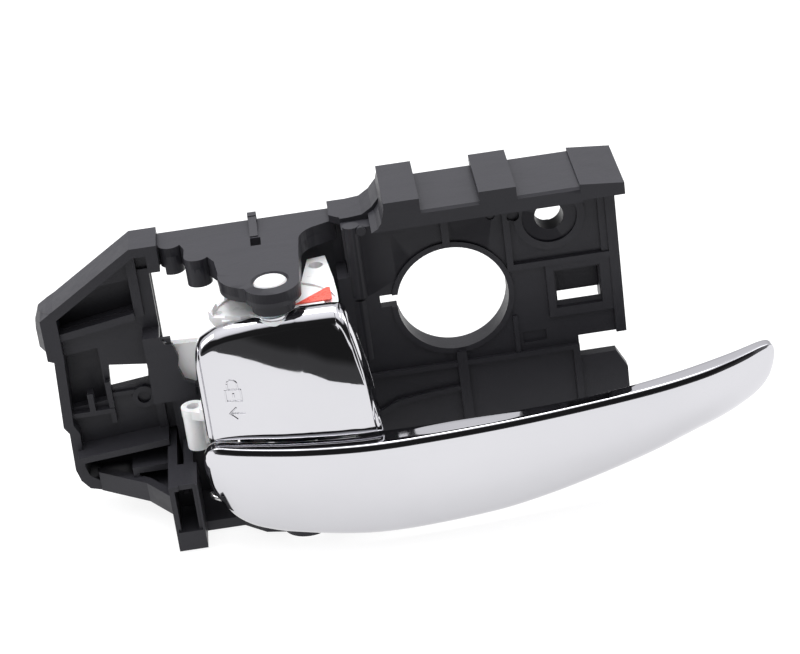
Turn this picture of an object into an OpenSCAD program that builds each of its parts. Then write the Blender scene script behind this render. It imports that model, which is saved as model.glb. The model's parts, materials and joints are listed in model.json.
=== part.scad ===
// Interior door handle: moulded base, chromed pull lever, lock rocker.
// Origin: centre of the fixing screw hole on the plate's front face.
// X right, Y into the door, Z up. Millimetres.

/* [Base plate] */
// Thickness of the moulded plate
plate_t = 2.6; // [2:0.1:3.5]
// Radius of the fixing screw hole
screw_r = 3.35; // [2.6:0.05:4.3]
// Length of the screw hole's wall
screw_len = 5.2; // [3:0.1:8]
// Radius of the large round hole
boss_hole_r = 13; // [9:0.5:16]
// Length of the large hole's wall
boss_hole_len = 5.1; // [3:0.1:8]
// Depth of the base behind the plate's front face
back_y = 15.2; // [12:0.2:18]
// General wall thickness of the base
wall = 2.4; // [1.6:0.1:3]
// Height of the ribs on the plate's front
rib_h = 1.2; // [0.6:0.1:2]
// Level of the underside of the base
base_z = -62.3; // [-64:0.1:-61]

/* [Ledge] */
// Front of the top ledge
ledge_y = -7; // [-9:0.5:-4]
// Height of the ledge's rails
rail_z = 9; // [8:0.2:10]
// Height of the ledge's first block
block_z = 12.1; // [10:0.1:13]

/* [Pivot] */
// Pivot axis, left-right position
pin_x = -65; // [-68:0.5:-62]
// Pivot axis, front-back position
pin_y = -18.8; // [-21:0.5:-18]
// Radius of the pivot pin
pin_r = 3.75; // [3:0.05:4]
// Radial play on the pin
play = 0.05; // [0.02:0.01:0.1]
// Radius of the pin's lower end
pin_low_r = 3; // [2.4:0.1:3.2]
// Top of the arm that carries the pin
arm_z = 3.2; // [2.6:0.1:4]

/* [Lever] */
// Level of the lever's top edge
lever_z = -34; // [-34.5:0.1:-33.8]
// Wall thickness of the chromed lever
lever_wall = 2; // [1.4:0.1:2.6]
// How far the lever's face bulges forward
lever_bulge = 1; // [0:0.1:2]
// Stations along the lever
lever_n = 40; // [24:2:60]

/* [Lock rocker] */
// Level of the lock cap's lower edge
cap_z = -33.4; // [-33.6:0.1:-32.5]
// Level of the lock cap's top
cap_top = -4.6; // [-6:0.1:-4.4]
// Wall thickness of the lock cap
cap_wall = 1.8; // [1.4:0.1:2.2]
// Level of the white cam's top
cam_z = -4.6; // [-6:0.1:-4.4]

/* [Springs] */
// Wire radius of the return spring
wire_r = 0.55; // [0.4:0.05:0.8]
// Turns of the return spring
turns = 6; // [3:1:8]

/* [Hidden] */
$fn = 48;

hub_top = -34.5;
hub_bot = -54.6;
low_top = -55.4;
low_bot = -60.3;

module bx(x0, x1, y0, y1, z0, z1) translate([x0, y0, z0]) cube([x1 - x0, y1 - y0, z1 - z0]);
// extrude an (X,Y) outline from z0 to z1
module zex(z0, z1) translate([0, 0, z0]) linear_extrude(z1 - z0) children();
// extrude an (X,Z) outline from y0 to y1
module yex(y0, y1) translate([0, y1, 0]) rotate([90, 0, 0]) linear_extrude(y1 - y0) children();
// extrude a (Y,Z) outline from x0 to x1
module xex(x0, x1) translate([x0, 0, 0]) rotate([90, 0, 90]) linear_extrude(x1 - x0) children();
module at_pin(z) translate([pin_x, pin_y, z]) children();
module tube(r0, r1, h) difference() { cylinder(r = r1, h = h); translate([0, 0, -1]) cylinder(r = r0, h = h + 2); }
function lk(x, t) = lookup(x, t);
function sm(t) = t * t * (3 - 2 * t);

// ---------------------------------------------------------------- base
plate_o = [[-47.6, 4], [-37.2, 4], [-37.2, 8], [15.3, 8], [15.3, -31.7], [4, -31.7], [4, -37.2], [12.6, -37.2], [15, -41.8], [15, -49], [9, base_z], [-50, base_z], [-50, -8.2], [-47.6, -8.2]];

module plate() {
  yex(0, plate_t) polygon(plate_o);
  // side walls of the tray
  bx(-50, -47.6, 0, back_y, base_z, -8.2);
  bx(-50, -47.6, 8.6, back_y, -8.4, 5);
  bx(12.9, 15.3, -1.2, 9, -31.7, 7);
  bx(4, 15.3, 0, 9, -31.7, -29.6);
  bx(1.6, 4, 0, 9, -36.4, -29.6);
  bx(4, 12.6, 0, plate_t, -39.4, -37.2);
  yex(0, plate_t) polygon([[12.6, -37.2], [15, -41.8], [15, -49], [12.6, -49], [12.6, -41.8], [11, -39.4], [11, -37.2]]);
  bx(-50, 9.3, 0, 9, base_z, base_z + wall);
  yex(0, 9) polygon([[15, -49], [9, base_z], [6.4, base_z], [12.6, -49]]);
  // front ribs
  bx(-10.6, 13, -rib_h, 0, -12.1, -10.6);
  bx(-10.9, -9.4, -rib_h, 0, -12.1, 6);
  bx(11.2, 12.9, -rib_h * 0.6, 0, -12.1, 6);
  bx(-25.1, -23.4, -rib_h, 0, -3.2, 6.4);
  bx(-25, -22.6, -rib_h, 0, -60, -30.9);
  bx(-47.6, 4, -rib_h * 0.8, 0, -34.8, -33.6);
  bx(2.4, 4, -rib_h * 0.8, 0, -57, -33.6);
  bx(-10.9, -9.8, -rib_h * 0.5, 0, -33.6, -24);
  yex(-rib_h * 0.8, 0) polygon([[-47.6, -45], [-40, -41.5], [-30, -40.3], [-25, -40], [-25, -41.2], [-30, -41.5], [-39.5, -42.7], [-47.6, -46.4]]);
  // frame round the rectangular pocket
  difference() {
    bx(-2.2, 12.9, -rib_h * 0.75, 0, -25.6, -12.1);
    bx(-0.4, 10.4, -2, 1, -23.4, -13.6);
  }
  // collar of the large hole
  translate([-24.2, 0, -17]) rotate([90, 0, 0]) {
    translate([0, 0, -boss_hole_len]) cylinder(r = boss_hole_r + 2, h = boss_hole_len, $fn = 96);
    cylinder(r = boss_hole_r + 1.3, h = 0.7, $fn = 96);
  }
  bx(-43, -37, 0, plate_t, -19.4, -13.2);
  // screw boss with its washer ring
  rotate([90, 0, 0]) translate([0, 0, -screw_len]) cylinder(r = 6.9, h = screw_len, $fn = 72);
  rotate([90, 0, 0]) difference() { cylinder(r = 8.2, h = 0.6, $fn = 72); translate([0, 0, -1]) cylinder(r = 6.4, h = 3, $fn = 72); }
  // pocket back
  bx(-1.6, 11.2, 0, 5.4, -24, -12.4);
  // posts at the plate's left
  translate([-45.4, 0.9, -13.6]) cylinder(r = 1.9, h = 18);
  translate([-45.6, 1.2, -30]) cylinder(r = 1.8, h = 15.6);
  translate([-43.2, -0.2, 3.4]) rotate([90, 0, 0]) cylinder(r = 1.1, h = 0.9, $fn = 24);
  // back ribs
  bx(-40, 9, plate_t, 9, -45.6, -44);
  bx(-25, -23.2, plate_t, 9, -60, -32.6);
  bx(-60, -46.4, 9.6, 12, -34, 1.6);
  bx(-60, -47.6, 9.6, back_y, -34, -31.8);
  bx(-0.9, 0.9, plate_t, 12, -12.4, -6.4);
  bx(-11, -9.4, plate_t, 9, -44, 6.6);
  bx(-47.6, -39.4, plate_t, 9, -24, -22.4);
}
module plate_cuts() {
  translate([-24.2, 0, -17]) rotate([90, 0, 0]) cylinder(r = boss_hole_r, h = 60, center = true, $fn = 120);
  bx(-41, -36, -5, 8, -17, -14);
  bx(-41, -36, plate_t, 8, -19.6, -14);
  rotate([90, 0, 0]) translate([0, 0, -screw_len - 1]) cylinder(r = screw_r, h = screw_len + 3, $fn = 64);
  bx(0, 10.1, -3, 3.6, -22, -14.3);
  bx(0, 10.1, -3, 8, -22, -21.2);
  bx(0, 10.1, 0.4, 8, -25.4, -21.2);
  // recess left of the pocket and two stamped pockets
  bx(-9, -3.4, -1, 0.5, -31.6, -28.8);
  // way for the cam's arm
  bx(-52, -47.4, -1, 8.6, -8.2, -3.6);
  translate([-8.3, 0.4, 1.6]) rotate([90, 0, 0]) cylinder(r = 1.5, h = 3, $fn = 24);
  translate([-13.4, 0.4, 2.2]) rotate([90, 0, 0]) cylinder(r = 1.1, h = 3, $fn = 24);
}

module rail(x0, x1, z) xex(x0, x1) polygon([[ledge_y, 5.3], [ledge_y, z - 0.6], [ledge_y + 0.6, z], [back_y - 0.6, z], [back_y - 0.6, z - 2.2], [ledge_y + 2.2, z - 2.2], [ledge_y + 2.2, 5.3]]);
module ledge() {
  rail(-29.6, -15.7, rail_z);
  rail(-7.6, 7.4, rail_z);
  difference() {
    bx(-37.6, -29.4, ledge_y, back_y - 0.2, 5.3, block_z);
    bx(-35.4, -31.6, ledge_y + 2.2, back_y - 2.6, 4, block_z - 2.2);
  }
  difference() {
    bx(-15.9, -7.4, ledge_y, back_y - 0.2, 5.3, block_z - 0.6);
    bx(-13.7, -9.6, ledge_y + 2.2, back_y - 2.6, 4, block_z - 2.8);
  }
  yex(ledge_y, back_y - 0.2) polygon([[7, 5.8], [17.1, 5.8], [17.1, 8.7], [7, 9.7]]);
  bx(7, 15.3, back_y - 2.4, back_y - 0.2, 1, 8.2);
  // plate up into the ledge, and the closing wall behind
  bx(-37.2, 15.3, 0, plate_t, 4, 7.4);
  bx(-37.6, 15.3, back_y - 2.4, back_y - 0.2, 0, 7.4);
  for (x = [-37.6, -15.9, -9, 12.9]) bx(x, x + 2, plate_t, back_y - 1, -2, 7.2);
  // flared end by the arm
  yex(ledge_y, back_y - 0.2) polygon([[-37.2, 11.9], [-37.9, 9.6], [-38.5, 7.4], [-39.5, 6.1], [-41, 5.3], [-37.2, 5.3]]);
  yex(4.2, back_y) polygon([[-37, 9.9], [-38.4, 8.6], [-40, 6.8], [-42.4, 5.3], [-45.6, 5], [-47.6, 5], [-47.6, 3.2], [-37, 3.2]]);
  zex(3.2, 5) polygon([[-50, 7.2], [-48.4, 5.6], [-46.8, 4.2], [-46, 4.2], [-46, back_y], [-50, back_y]]);
  bx(-47.6, -37, 0, 5, 3.2, 4);
}

function arc(cx, cy, r, a0, a1, n) = [for (i = [0:n]) let(a = a0 + (a1 - a0) * i / n) [cx + r * cos(a), cy + r * sin(a)]];
arm_o = concat(
  [[-38, back_y], [-90.2, back_y], [-90.2, 8.3]],
  arc(-87.3, 8.3, 2.7, 180, 330, 10), [[-84, 4]],
  arc(-81.2, -0.4, 2.9, 180, 330, 10), [[-77.2, -5]],
  arc(-67.4, -13, 9.2, 172, 247.5, 14),
  arc(-64.7, -20.3, 6.3, 192, 352, 20), [[-58, -8], [-57.6, 0]],
  arc(-51, 0.2, 6.6, 180, 108, 8), [[-49, 8.2], [-47, 11.2], [-38, 11.2]]);
module inset(d) offset(delta = -d) children();
arm_i = concat(
  [[-59.5, back_y - 2.4], [-88.2, back_y - 2.4], [-88.2, 9.4], [-85.3, 9.4], [-83, 5.6], [-82.6, 1.4], [-79.2, 1.4], [-75, -5]],
  arc(-67.4, -12, 8, 168, 180, 3),
  [[-74, -15], [-72.4, -17.4], [-71.2, -18.4], [-69, -12.6], [-66, -11.4], [-62, -12.6], [-60.2, -14], [-59.8, -2]]);
module arm() {
  zex(0.8, arm_z) polygon(arm_o);
  difference() {
    union() {
      zex(-1.7, 1) polygon(arm_o);
      translate([-87.3, 8.3, -3.5]) cylinder(r = 2.7, h = 4.5);
      translate([-81.2, -0.4, -3.5]) cylinder(r = 2.9, h = 4.5);
    }
    bx(-80, -54, -30, -11.5, -3, -0.2);
    zex(-5, 0.9) polygon(arm_i);
    zex(-5, 0.9) polygon([[-39.6, back_y - 2.2], [-57, back_y - 2.2], [-57, 4.6], [-54, 7.4], [-50.6, 9.6], [-48, 12.6], [-39.6, 12.6]]);
  }
  // locating tab on the arm
  xex(-68.6, -66.7) polygon([[5.2, arm_z - 0.2], [5.2, arm_z + 0.25], [back_y - 1.2, arm_z + 1.9], [back_y - 1.2, arm_z - 0.2]]);
  bx(-68.7, -66.6, back_y - 2.2, back_y, arm_z - 0.2, arm_z + 1.9);
  // boss under the lug
  at_pin(-3.6) cylinder(r = 4.9, h = 4.4);
  // detent spring tower
  translate([-72.5, -8.5, -1.7]) cylinder(r = 2.6, h = 3.4);
}
module arm_cuts() {
  at_pin(-6) cylinder(r = pin_r + play, h = 12);
  at_pin(arm_z - 0.45) cylinder(r1 = pin_r + play, r2 = pin_r + play + 0.5, h = 0.46);
  bx(-68.6, -66.2, 0.4, 4.6, -8, 8);
  translate([-72.5, -8.5, -3]) cylinder(r = 1.75, h = 4.6, $fn = 32);
}

wing_o = [[-90.2, 4.9], [-96.6, 4.9], [-119.8, -10], [-119.8, -20.4], [-118.4, -21], [-119.3, -38.4], [-118.2, -40.2], [-118.5, -50], [-117.7, -53.2], [-115.9, -55.6], [-113.2, -56.4], [-90.2, -56.4]];
wing_i = [[-93, 2.6], [-96, 2.6], [-117.2, -11.1], [-117.2, -19.6], [-116.1, -21.4], [-116.9, -38.2], [-115.8, -40.6], [-116.1, -49.6], [-115.4, -52.2], [-113, -54], [-92.8, -54]];
module wing() {
  difference() {
    yex(4.5, back_y) polygon(wing_o);
    yex(3, back_y - 2.2) polygon(wing_i);
  }
  // sloping flank that widens to the back
  intersection() {
    zex(-22, -8) polygon([[-117.4, 4.5], [-119.6, 9.5], [-122.3, back_y], [-116, back_y], [-116, 4.5]]);
    yex(4.5, back_y) polygon([[-116, -7.6], [-118.4, -8.9], [-120.7, -10.4], [-121.9, -13.6], [-122.4, -17], [-122.4, -21.4], [-116, -21.4]]);
  }
  // stepped panel inside
  difference() {
    yex(8, 10.4) polygon([[-117.5, -14.6], [-98.1, -11.6], [-98.1, -2], [-92.9, -2], [-92.9, -19], [-95.4, -19], [-95.4, -33.4], [-91, -33.4], [-91, -44], [-117.5, -45]]);
    yex(6, 12) polygon([[-106.4, -25.3], [-97.3, -26.5], [-97.8, -30.8], [-106.9, -31.8]]);
    yex(6, 12) polygon([[-117.4, -21.4], [-108.2, -20.4], [-108.2, -34.4], [-117.4, -35.4]]);
  }
  // upper web round the dark pocket
  yex(9, 11.4) polygon([[-117.5, -10.8], [-96, 3.4], [-92.9, 3.4], [-92.9, -4], [-98.1, -4.6], [-106.8, -5.4], [-112.4, -9.6], [-117.5, -12.6]]);
  // shelf line and shelf walls
  yex(5.6, 10) polygon([[-117.5, -14.8], [-98.1, -11.8], [-98.1, -13.6], [-117.5, -16.6]]);
  bx(-98.1, -95.9, 7, back_y, -13.6, 3.4);
  yex(3, back_y) polygon([[-92.9, -2.4], [-90.6, -2.4], [-90.6, -19.6], [-92.9, -18.6]]);
  // scalloped edge
  yex(2.2, 3.8) polygon([[-97, -17.2], [-92.7, -18.1], [-92, -19.5], [-90.3, -19.8], [-89.4, -23.3], [-90, -25.8], [-88.9, -29.4], [-86.7, -30.5], [-86.9, -34.2], [-97, -34.2]]);
  bx(-97, -95.4, 2.2, 10.4, -34.5, -17.2);
  bx(-97, -92.9, 2.2, 10, -19, -17.2);
  yex(2.2, 10.4) polygon([[-97, -33.4], [-91, -33.4], [-91, -34.4], [-97, -34.4]]);
  // ribs of the panel
  bx(-107.9, -106.7, 6.4, 9, -40, -29);
  bx(-112.6, -111.2, 6.2, 9, -36.6, -31.4);
  bx(-117, -106.7, 6.2, 9, -37.2, -36);
  bx(-106.7, -97, 7.2, 9, -33.4, -32.4);
  translate([-99.4, 8, -34.6]) rotate([90, 0, 0]) tube(1.6, 2.8, 1);
  bx(-97, -95, 6.8, 9, -44, -34);
  // lower channel
  yex(0.5, back_y) polygon([[-117, -45], [-95, -43.2], [-95, -44.8], [-117, -46.6]]);
  zex(-56.4, -54) polygon([[-113.2, back_y], [-113.2, 4.2], [-101.6, -4.5], [-95.6, -13], [-90.2, -19.5], [-90.2, back_y]]);
  zex(-54, -51.4) polygon([[-113.6, 6.5], [-113.2, 4.2], [-101.6, -4.5], [-95.6, -13], [-90.6, -19.5], [-90.6, -16.2], [-94, -11.6], [-100.6, -2.3], [-111.6, 6.5]]);
  bx(-104.6, -95, -1, 9, -50.4, -48.8);
  bx(-104.6, -103.2, -1, back_y - 1, -53.9, -48.8);
}
module wing_cuts() {
  bx(-112, -107, back_y - 4, 30, -52, -48.6);
  bx(-108.4, -96.8, 11, 30, -35.6, -27.6);
  // open side next to the arm
  bx(-93.1, -89, 2, 5, -18.2, -1.7);
  bx(-93.1, -89, 4.2, back_y + 1, -31.9, -1.7);
  // way for the lock arm
  bx(-95.3, -89, 4.2, 12.9, -31.9, -19.9);
}

module base_floor() {
  // pillar with its foot
  difference() {
    bx(-95.6, -88.9, -19.5, -9, base_z, -45.2);
    bx(-95, -89.4, -20, -18.9, -57.4, -45);
  }
  bx(-95.6, -93.4, -19.5, back_y, -56.4, -45.2);
  zex(base_z, base_z + 2.5) polygon([[-95.6, -19.5], [-88.9, -19.5], [-88.9, -12], [-80, -12], [-75, -16.6], [-70.2, -17.8], [-59.8, -17.8], [-52, -6], [-47.6, 0], [-47.6, back_y - 2.4], [-95.6, back_y - 2.4]]);
  bx(-95.6, -89.7, -16.9, back_y - 2.4, base_z, -54);
  bx(-91.9, -89.7, -16.9, 3.2, -62, -45.4);
  // spring housing front between pillar and hub
  bx(-91.9, -50, 3, 5.4, -60, -32);
  yex(3, back_y) polygon([[-91, -34.2], [-50, -34.2], [-50, -32], [-91, -32]]);
  bx(-50, -47.8, -0.5, 4, -60, -32);
  for (x = [-84.5, -50.2]) bx(x, x + 2.2, 3, back_y, -60, -33);
  bx(-91, -48, back_y - 4.6, back_y - 2.4, -60, -54.5);
  // lower lug
  at_pin(low_bot) cylinder(r = 5.8, h = low_top - low_bot);
  zex(base_z, base_z + 2.5) polygon([[-70.4, -17.8], [-69.6, -21.6], [-67.6, -22.4], [-62.4, -22.4], [-60.4, -21.6], [-59.6, -17.8]]);
  // stiffening ribs on the floor
  for (x = [-80, -72.4, -58.8]) bx(x, x + 1.6, -6, 3.4, -60, -56.4);
}
module floor_cuts() {
  at_pin(-70) cylinder(r = 4.4, h = 20);
  // way for the release arm
  bx(-80.6, -50.4, 1, 8, -55, -43.6);
  at_pin(low_bot - 4) cylinder(r = 5.4, h = 4);
  bx(-94.4, -90.2, -20, -7.5, -57.4, -46.4);
}

module housing() color([0.1, 0.1, 0.11]) {
  difference() {
    union() {
      plate();
      ledge();
      arm();
      wing();
      base_floor();
    }
    plate_cuts();
    arm_cuts();
    wing_cuts();
    floor_cuts();
  }
}

// ---------------------------------------------------------------- pivot hardware
module lower_bush() color([0.85, 0.85, 0.82]) at_pin(0) {
  translate([0, 0, low_bot + 0.2]) tube(pin_low_r + play, 4.4, low_top - low_bot - 0.2);
  translate([0, 0, low_top]) tube(pin_low_r + play, 5.4, 0.4);
}
module pivot_pin() color([0.93, 0.93, 0.92]) at_pin(0) {
  translate([0, 0, low_top + 0.4]) cylinder(r = pin_r, h = arm_z - 0.5 - low_top - 0.4);
  translate([0, 0, arm_z - 0.5]) cylinder(r1 = pin_r, r2 = pin_r - 0.4, h = 0.4);
  difference() {
    translate([0, 0, -61.9]) cylinder(r = pin_low_r, h = 8);
    translate([0, 0, low_bot - 0.7]) tube(2.3, 5, 0.7);
  }
}
module retaining_ring() color([0.55, 0.56, 0.58]) at_pin(low_bot - 0.65) difference() {
  cylinder(r = 4.9, h = 0.6);
  translate([0, 0, -1]) cylinder(r = 2.34, h = 3);
  translate([-1.5, -6, -1]) cube([3, 6, 3]);
}
module upper_washer() color([0.9, 0.9, 0.88]) at_pin(-4.55) tube(pin_r + 0.1, 3.95, 0.85);
module mid_washer() color([0.9, 0.9, 0.88]) at_pin(-34.4) tube(pin_r + 0.1, 5.4, 0.8);
module lower_washer() color([0.6, 0.61, 0.63]) at_pin(-54.95) tube(pin_r + 0.1, 5.2, 0.3);

// ---------------------------------------------------------------- lever
t_yr = [[-86.3, -21.2], [-85.4, -22.6], [-84, -24.1], [-80.6, -25.8], [-77.5, -27.1], [-70.6, -29.4], [-64.1, -31.2], [-55.1, -33], [-45, -33.8], [-37, -33.7], [-30.3, -33.3], [-18.9, -32.5], [-5, -30.8], [4.3, -29.4], [16.1, -27.1], [28.2, -23.6], [35.9, -20.1], [41.2, -17.1], [46.1, -13.6], [47.7, -12.2]];
t_zb = [[-86.3, -41], [-85.9, -44], [-84.6, -49], [-83.4, -52], [-81.6, -54.4], [-78, -56.6], [-75, -57.6], [-65, -58.7], [-55, -59.5], [-44.6, -59.9], [-30, -59.7], [-21, -59.2], [-8, -57.7], [2.6, -56], [15, -53.7], [27.3, -51], [34, -49.6], [40.4, -47.7], [43.4, -45.9], [45.8, -43.1], [47.1, -40], [47.7, -37.9]];
t_zt = [[-86.3, -39.4], [-85.6, -36.8], [-84.8, -35.2], [-83.4, -34.1], [-82, -34], [45, -34], [46.4, -34.5], [47.3, -35.6], [47.7, -36.9]];
t_yd = [[-86.3, 1.2], [-85, 3.4], [-83, 4.6], [-64, 5], [-43, 6.4], [-30, 5.9], [-4.5, 4.2], [17, 4.6], [29, 5], [42, 3.9], [47.7, 1]];
function lev_sec(x) = let(
    yr = lk(x, t_yr), zt = lk(x, t_zt), zb = lk(x, t_zb), d = lk(x, t_yd), h = zt - zb,
    f = min(1.6, h * 0.3), g = min(3, h * 0.32), w = min(lever_wall, h * 0.28, d * 0.6), k = min(2.4, h * 0.2))
  concat(
    [[yr + d, zt], [yr + f, zt]],
    [for (a = [30, 60]) [yr + f * (1 - sin(a)), zt - f * (1 - cos(a))]],
    [for (i = [0:5]) let(t = i / 5) [yr + k * t * t - lever_bulge * min(1, h / 12) * 4 * t * (1 - t) * 0.6, zt - f - (h - f - g) * t]],
    [for (a = [25, 50, 75]) [yr + k + g * (1 - cos(a)), zb + g * (1 - sin(a))]],
    [[yr + k + g, zb], [yr + k + d * 0.7, zb], [yr + k + d * 0.7, zb + w * 0.8], [yr + k + g * 0.7, zb + w]],
    [for (i = [0:3]) let(t = 1 - i / 3) [yr + w + k * t * t - lever_bulge * min(1, h / 12) * 4 * t * (1 - t) * 0.6 * 0.9, zt - w - f * 0.5 - (h - 2 * w - f) * t]],
    [[yr + w + f * 0.5, zt - w], [yr + d, zt - w * 0.8]]);
function loft_faces(n, m) = concat(
    [[for (j = [m - 1:-1:0]) j]], [[for (j = [0:m - 1]) (n - 1) * m + j]],
    [for (i = [0:n - 2], j = [0:m - 1], k = [0, 1]) let(a = i * m + j, b = i * m + (j + 1) % m, c = a + m, e = b + m)
      k == 0 ? [a, b, e] : [a, e, c]]);
function rev(faces) = [for (f = faces) [for (q = [len(f) - 1:-1:0]) f[q]]];
function lev_x(i) = let(u = i / (lever_n - 1)) -86.2 + 133.8 * (u - 0.1135 * sin(360 * u));
module pull_lever() color([0.8, 0.81, 0.83]) {
  s = [for (i = [0:lever_n - 1]) lev_sec(lev_x(i))];
  m = len(s[0]);
  polyhedron([for (i = [0:lever_n - 1], p = s[i]) [lev_x(i), p[0], p[1]]], loft_faces(lever_n, m), convexity = 6);
}

function rib_path(o) = [for (i = [0:24]) let(x = -82 + i * 5) [x, lk(x, t_yr) + o]];
module lever_carrier() color([0.12, 0.12, 0.13]) {
  difference() {
    union() {
      at_pin(hub_bot) cylinder(r = 4.9, h = hub_top - hub_bot);
      at_pin(-43.4) cylinder(r = 6.6, h = 43.4 + hub_top);
      // long rib along the lever
      zex(-46, -44.4) polygon(concat(rib_path(1.7), [for (i = [24:-1:0]) let(x = -82 + i * 5) [x, lk(x, t_yr) + lk(x, t_yd) - 0.4]]));
      // hub block into the lever
      difference() {
        zex(-43.4, -36.3) polygon([[-78, -25.6], [-71, -27.9], [-64.1, -29.6], [-55, -31.4], [-50, -31.9], [-50, -26.4], [-58.6, -17.4], [-60, -14.6], [-70, -14.6], [-71.4, -17.4], [-78, -21.2]]);
        at_pin(-44) cylinder(r = 4, h = 10);
      }
      // upright ribs
      for (x = [-76, -48, -36, -24, -12, 0, 12, 24, 34]) let(y = lk(x, t_yr), h = lk(x, t_zb))
        bx(x - 0.7, x + 0.7, y + 1.9, y + lk(x, t_yd) - 0.3, h + 5.4, -35.8);
      // release arm
      at_pin(-42.4) rotate(20) translate([-3.4, 0, 0]) cube([6.8, 14, 5]);
      at_pin(-50) rotate(20) translate([-3.2, 9.5, 0]) cube([6.4, 19.5, 3.4]);
      at_pin(-50) rotate(20) translate([-3.2, 9.5, 0]) cube([6.4, 3.2, 10]);
      at_pin(-50) rotate(20) translate([0, 27.5, 0]) cylinder(r = 4.4, h = 3.4);
    }
    at_pin(-70) cylinder(r = pin_r + play, h = 50);
    at_pin(-60) rotate(20) translate([0, 27.5, 0]) cylinder(r = 2.3, h = 20, $fn = 32);
    for (x = [-74, -54]) let(y = lk(x, t_yr)) translate([x, y + 1.5, -40]) rotate([-90, 0, 0]) cylinder(r = 1.25, h = 14, $fn = 24);
  }
}
module carrier_screws() color([0.6, 0.61, 0.64]) for (x = [-74, -54]) let(y = lk(x, t_yr), b = x < -65 ? -19.55 : -22.4)
  translate([x, 0, -40]) rotate([-90, 0, 0]) {
    translate([0, 0, y + 2.6]) cylinder(r = 1.2, h = b - y - 2.4, $fn = 24);
    difference() {
      translate([0, 0, b]) cylinder(r = 2.5, h = 1.6, $fn = 24);
      for (a = [0, 90]) rotate(a) translate([-0.35, -1.5, b + 0.9]) cube([0.7, 3, 2]);
    }
  }

// swept round wire along a point list
function unit(v) = v / norm(v);
module wire(p, r, n) {
  m = len(p);
  t = [for (i = [0:m - 1]) unit(p[min(i + 1, m - 1)] - p[max(i - 1, 0)])];
  pts = [for (i = [0:m - 1]) let(u = abs(t[i][2]) > 0.8 ? unit(cross(t[i], [1, 0, 0])) : unit(cross(t[i], [0, 0, 1])), v = cross(t[i], u))
    for (j = [0:n - 1]) let(a = 360 * j / n) p[i] + r * (cos(a) * u + sin(a) * v)];
  polyhedron(pts, rev(loft_faces(m, n)), convexity = 8);
}
module return_spring() color([0.62, 0.63, 0.66]) {
  n = turns * 22;
  coil = [for (i = [0:n]) let(a = 200 + 360 * turns * i / n, z = -53.9 + 9.4 * i / n) [pin_x + 6.1 * cos(a), pin_y + 6.1 * sin(a), z]];
  a1 = 200 + 360 * turns;
  wire(concat([[-86.3, -14.6, -51], [-85.9, -16, -51.1], [-84.6, -16.6, -51.5], [-72.4, -19.6, -53.8]], coil,
    [[pin_x + 6.3 * cos(a1 + 22), pin_y + 6.3 * sin(a1 + 22), -44.7], [pin_x - 1, pin_y - 6.1, -44.9], [pin_x + 3, pin_y - 6.2, -44.9]]), wire_r, 8);
}
module spring_sleeve() color([0.9, 0.9, 0.88]) at_pin(-54.3) tube(4.95, 5.4, 10.6);
module cable_clip() color([0.9, 0.9, 0.88]) at_pin(0) rotate(20) translate([0, 27.5, 0]) {
  translate([0, 0, -50.9]) tube(1.2, 2.25, 6.6);
  difference() {
    translate([-3.6, -3.6, -53.4]) cube([7.2, 7.2, 2.5]);
    translate([0, 0, -54]) cylinder(r = 1.2, h = 4, $fn = 24);
    translate([-5, -1, -54]) cube([5, 2, 4]);
  }
  translate([0, 0, -46.6]) tube(1.2, 3.2, 1);
}

// ---------------------------------------------------------------- lock rocker
t_cy = [[-84.6, -19.8], [-84, -21.1], [-83, -22], [-81, -22.6], [-77, -23.5], [-72.7, -24.6], [-63.7, -27], [-54.7, -28.4], [-48, -29], [-44.9, -28.8]];
t_ct = [[-84.6, -15.8], [-84.2, -13], [-83.2, -10.2], [-81.2, -8], [-77, -6.2], [-72, -5.2], [-66, cap_top], [-60, cap_top + 0.3], [-50.8, cap_top + 0.2], [-49.6, -5.4], [-48.9, -7.4], [-44.9, -30.8]];
t_cl = [[-84.6, 0.8], [-77, 1.8], [-65, 2], [-58, 3], [-50, 4.2], [-44.9, 4.2]];
t_ck = [[-84.6, -15.6], [-79.4, -17.4], [-72.6, -19.2], [-70.4, -20.6], [-69.4, -22.9], [-60.6, -22.9], [-59.2, -18.9], [-49, -19.2], [-44.9, -21.4]];
function cap_lean(x, z) = let(t = max(0, (z + 21) / 16)) lk(x, t_cl) * pow(t, 1.6);
function cap_sec(x) = let(
    zt = lk(x, t_ct), zb = cap_z, yb = lk(x, t_cy), h = zt - zb, w = min(cap_wall, h * 0.3),
    yk = lk(x, t_ck), yt = yb + cap_lean(x, zt - 2.4), f = min(3, h * 0.3, (yk - yt) / 1.16), zf = zt - f)
  concat(
    [[yk, zt], [yt + f * 1.1, zt]],
    [for (a = [70, 50, 30, 12]) [yt + f * 1.1 * (1 - cos(a)), zt - f * (1 - sin(a))]],
    [for (i = [0:6]) let(t = i / 6, z = zf - (zf - zb) * t) [yb + (i == 0 ? yt - yb : cap_lean(x, z)), z]],
    [[yb + w, zb]],
    [for (i = [0:5]) let(t = 1 - (i + 0.15) / 5.3, z = zf - (zf - zb) * t) [yb + cap_lean(x, z) + w, z]],
    [[min(yt + w + f * 0.4, yk - 0.9), zt - w - f * 0.12 - 0.2], [yk, zt - w]]);
function cap_x(i) = let(u = i / 31) -84.5 + 39.5 * (u - 0.08 * sin(360 * u));
module lock_cap() color([0.82, 0.83, 0.85]) {
  s = [for (i = [0:31]) cap_sec(cap_x(i))];
  m = len(s[0]);
  polyhedron([for (i = [0:31], p = s[i]) [cap_x(i), p[0], p[1]]], rev(loft_faces(32, m)), convexity = 6);
}

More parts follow.
